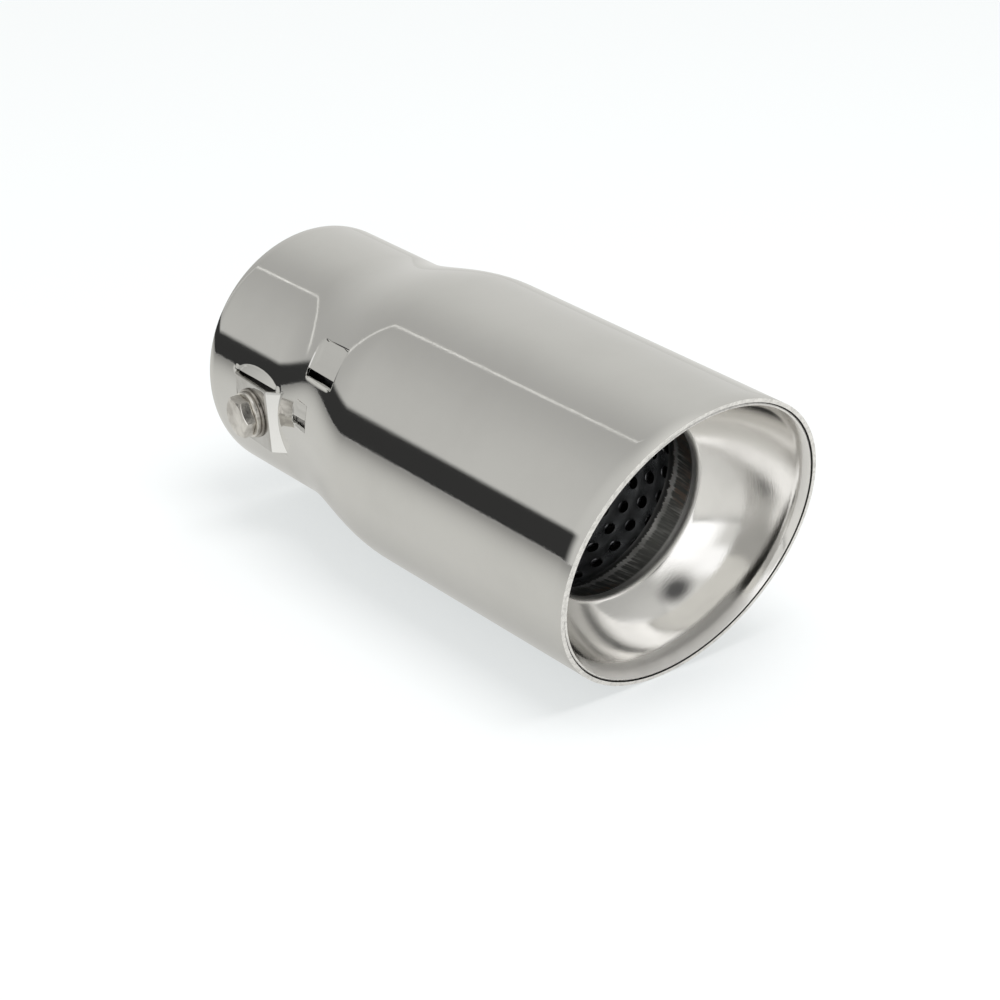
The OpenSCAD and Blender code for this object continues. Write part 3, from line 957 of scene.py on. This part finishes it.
# %% [markdown]
# ## Perforated core
#
# The core is a tube of blackened sheet with rows of punched holes, each row turned by half a
# hole from the last. Every hole is one small tile: a square ring of quads whose outer edge meets
# its neighbours and whose inner edge is the round hole. Plain tube joins the tiles to the bell.

# %% Core sizes
core_in_r, core_sheet = 26.1, 1.0
core_out_r = core_in_r + core_sheet
core_end = collar_x + 4.0
bell_x, bell_lip, bell_taper = neck_len + 2.5, 4.0, 13.0
bell_out_r = bore_r - 0.1
core_start = bell_x + bell_lip + bell_taper
hole_r, holes_around, ring_pitch, ring_margin = 1.5, 26, 5.2, 6.2
ring_count = int((core_end - ring_margin - core_start - 2 * hole_r) / ring_pitch) + 1
first_x = core_end - ring_margin
half_turn = math.pi / holes_around
tile_side = 6
print(ring_count, "rings of", holes_around, "holes")


# %% One tile
def tile_loops():
    """Loops of one tile: from its edge inside the tube, through the hole, to its edge outside."""
    s = np.linspace(-1, 1, tile_side + 1)[:-1]
    square = np.concatenate([np.c_[s, -1 + 0 * s], np.c_[1 + 0 * s, s],
                             np.c_[-s, 1 + 0 * s], np.c_[-1 + 0 * s, -s]])
    edge = square * [ring_pitch / 2, half_turn]
    aim = np.arctan2(square[:, 1], square[:, 0])
    hole = np.c_[np.cos(aim), np.sin(aim) / core_in_r]
    return [(edge, core_in_r), (hole * (hole_r + 0.25), core_in_r),
            (hole * (hole_r + 0.12), core_in_r + 0.03), (hole * hole_r, core_in_r + 0.2),
            (hole * hole_r, core_out_r - 0.1), (hole * (hole_r + 0.1), core_out_r),
            (edge, core_out_r)]


tile = tile_loops()
per_loop = 4 * tile_side
tile_faces = [[m * per_loop + q, m * per_loop + (q + 1) % per_loop,
               (m + 1) * per_loop + (q + 1) % per_loop, (m + 1) * per_loop + q]
              for m in range(len(tile) - 1) for q in range(per_loop)]
print("faces in a tile:", len(tile_faces))

# %% All tiles
parts = []
for ring in range(ring_count):
    for n in range(holes_around):
        middle_x = first_x - ring * ring_pitch
        middle_a = 2 * half_turn * (n + (ring % 2) / 2)
        spots = [place(middle_x + loop[:, 0], radius, middle_a + loop[:, 1])
                 for loop, radius in tile]
        parts.append((np.concatenate(spots), tile_faces))
print("tiles:", len(parts))

# %% Core tube and bell
tube_turns = np.linspace(0, 2 * math.pi, holes_around * 2 * tile_side, endpoint=False)


def tube(profile):
    """A tube's skin from points given as (distance, radius)."""
    profile = np.array(profile, float)
    points, faces = skin(place(profile[:, :1], profile[:, 1:], tube_turns[None]), False)
    return points, [face[::-1] for face in faces]


tile_low, tile_high = first_x - (ring_count - 0.5) * ring_pitch, first_x + 0.5 * ring_pitch
parts.append(tube([
    (tile_high, core_in_r), (core_end - 0.3, core_in_r), (core_end, core_in_r + 0.3),
    (core_end, core_out_r - 0.2), (core_end - 0.2, core_out_r), (tile_high, core_out_r)]))
parts.append(tube([
    (tile_low, core_out_r), (core_start + 1.5, core_out_r), (core_start, core_out_r + 0.1),
    (bell_x + bell_lip + 1, bell_out_r - 0.3), (bell_x + bell_lip - 1, bell_out_r),
    (bell_x + 0.2, bell_out_r), (bell_x, bell_out_r - 0.2), (bell_x, bell_out_r - 0.8),
    (bell_x + 0.2, bell_out_r - 1), (bell_x + bell_lip - 1, bell_out_r - 1),
    (bell_x + bell_lip + 1, bell_out_r - 1.3), (core_start, core_in_r + 0.1),
    (core_start + 1.5, core_in_r), (tile_low, core_in_r)]))
core = make_object("core", *joined(parts), (core_steel,))
turn_outward(core, 0.004)
seat(core, "perforated_core", 40)

# %% [markdown]
# ## Clamp bolt and its washers
#
# A hexagon bolt with a chamfered head pulls a spring washer and a flat washer against the strip,
# and a thin sheet nut sits under it. All four share the strip's tilt, so they are made upright
# round their own axis and then set on the strip together.

# %% Place on the strip
def on_bolt(points):
    """Moves points from the bolt's upright frame to its place on the neck."""
    points = np.asarray(points, float).reshape(-1, 3)
    x, y, z = points[:, 0], points[:, 1], points[:, 2] - strip_face
    return on_neck(x * cos_tilt - z * sin_tilt, y, x * sin_tilt + z * cos_tilt + strip_face)


flat_t, spring_t, head_h, bolt_af = 0.8, 1.2, 3.1, 9.5
flat_z = strip_face
spring_z = flat_z + flat_t
head_z = spring_z + spring_t
spread = np.linspace(0, 2 * math.pi, 96, endpoint=False)


def level_ring(reach, level):
    """A ring round the bolt's axis; where its reach changes as it goes round, it has corners."""
    return np.stack(np.broadcast_arrays(reach * np.cos(spread), reach * np.sin(spread), level), -1)


print(f"bolt head from {head_z:.2f} to {head_z + head_h:.2f} mm")


# %% Flat washer
def turned_piece(name, profile, finish, steps=72):
    """A closed turned body from points given as (radius, height)."""
    turn = np.linspace(0, 2 * math.pi, steps, endpoint=False)
    profile = np.array(profile, float)
    grid = np.stack([profile[:, :1] * np.cos(turn), profile[:, :1] * np.sin(turn),
                     np.repeat(profile[:, 1:], steps, 1)], -1)
    points, faces = skin(grid, True)
    return make_object(name, on_bolt(points), faces, (finish,), closed=True)


flat_washer = turned_piece("flat_washer", [
    (3.15, 0.1 + flat_z), (3.25, flat_z), (6.2, flat_z), (6.4, flat_z + 0.2), (6.4, flat_z + 0.55),
    (6.3, flat_z + 0.73), (6.1, flat_z + flat_t), (3.3, flat_z + flat_t),
    (3.15, flat_z + flat_t - 0.12)], dark_washer)
seat(flat_washer, "flat_washer")

# %% Sheet nut
nut_z = strip_face - sheet - nut_t
squarish = 1 / (np.abs(np.cos(spread)) ** 8 + np.abs(np.sin(spread)) ** 8) ** (1 / 8)
rows = [level_ring(reach, nut_z + level) for reach, level in (
    (3.0, 0.05), (3.1, 0), (4.9 * squarish, 0), (5.0 * squarish, 0.1),
    (5.0 * squarish, nut_t - 0.1), (4.9 * squarish, nut_t), (3.1, nut_t), (3.0, nut_t - 0.05))]
points, faces = skin(np.array(rows), True)
nut = make_object("sheet_nut", on_bolt(points), faces, (plain_steel,), closed=True)
seat(nut, "clamp_nut")

# %% [markdown]
# The spring washer is a ring of flat wire with one split, so it is a row of rectangular
# sections round the bolt, closed at its two ends.

# %% Spring washer
spring_in_r, spring_out_r, spring_steps = 3.2, 5.9, 90
split, half_gap = math.radians(200), math.radians(6)
wire = [(spring_in_r, 0.0), (spring_out_r, 0.0), (spring_out_r, spring_t), (spring_in_r, spring_t)]
rows = []
for a in split + half_gap + np.linspace(0, 2 * math.pi - 2 * half_gap, spring_steps + 1):
    rows.append([(r * math.cos(a), r * math.sin(a), spring_z + h) for r, h in wire])
points = np.array(rows).reshape(-1, 3)
faces = [[4 * n + q, 4 * n + (q + 1) % 4, 4 * n + 4 + (q + 1) % 4, 4 * n + 4 + q]
         for n in range(spring_steps) for q in range(4)]
faces += [[3, 2, 1, 0], [4 * spring_steps + q for q in range(4)]]
spring = make_object("spring_washer", on_bolt(points), faces, (plain_steel,), closed=True)
soften(spring, 0.18, 40, 3)
seat(spring, "spring_washer")

# %% [markdown]
# The bolt is one stack of rings: round ones for its shank, hexagonal ones for its head, and near
# the top two whose corners drop away, as a lathe leaves them when it chamfers a hexagon.

# %% Rings of the bolt
hexagon = 1 / np.cos((spread % (math.pi / 3)) - math.pi / 6)
flat_r = bolt_af / 2
chamfer_r, chamfer_slope = flat_r - 0.2, math.tan(math.radians(30))
shank_r, head_top = 2.95, head_z + head_h
tip_z = bore_r + 0.1 + 3.0 * math.sin(strip_tilt)


def chamfered(reach, level):
    """A ring whose corners drop away outside the chamfer's circle."""
    return level_ring(reach, level - np.clip(reach - chamfer_r, 0, None) * chamfer_slope)


print("bolt tip at", round(tip_z, 2), "mm from the pipe's axis")

# %% Bolt
rows = [level_ring(reach, level) for reach, level in (
    (0.001, tip_z + 0.05), (2.5, tip_z), (shank_r, tip_z + 0.4), (shank_r, head_z - 0.05),
    (4.2, head_z), (flat_r * hexagon - 0.25, head_z), (flat_r * hexagon, head_z + 0.2))]
rows += [chamfered(flat_r * hexagon, head_top - 0.12),
         chamfered(flat_r * hexagon - 0.12, head_top)]
rows += [level_ring(reach, level) for reach, level in (
    (chamfer_r - 0.15, head_top), (2.0, head_top - 0.05), (0.001, head_top - 0.05))]
points, faces = skin(np.array(rows), False)
bolt = make_object("bolt", on_bolt(points), faces, (plain_steel,))
turn_outward(bolt, 0.003)
seat(bolt, "clamp_bolt", 22)
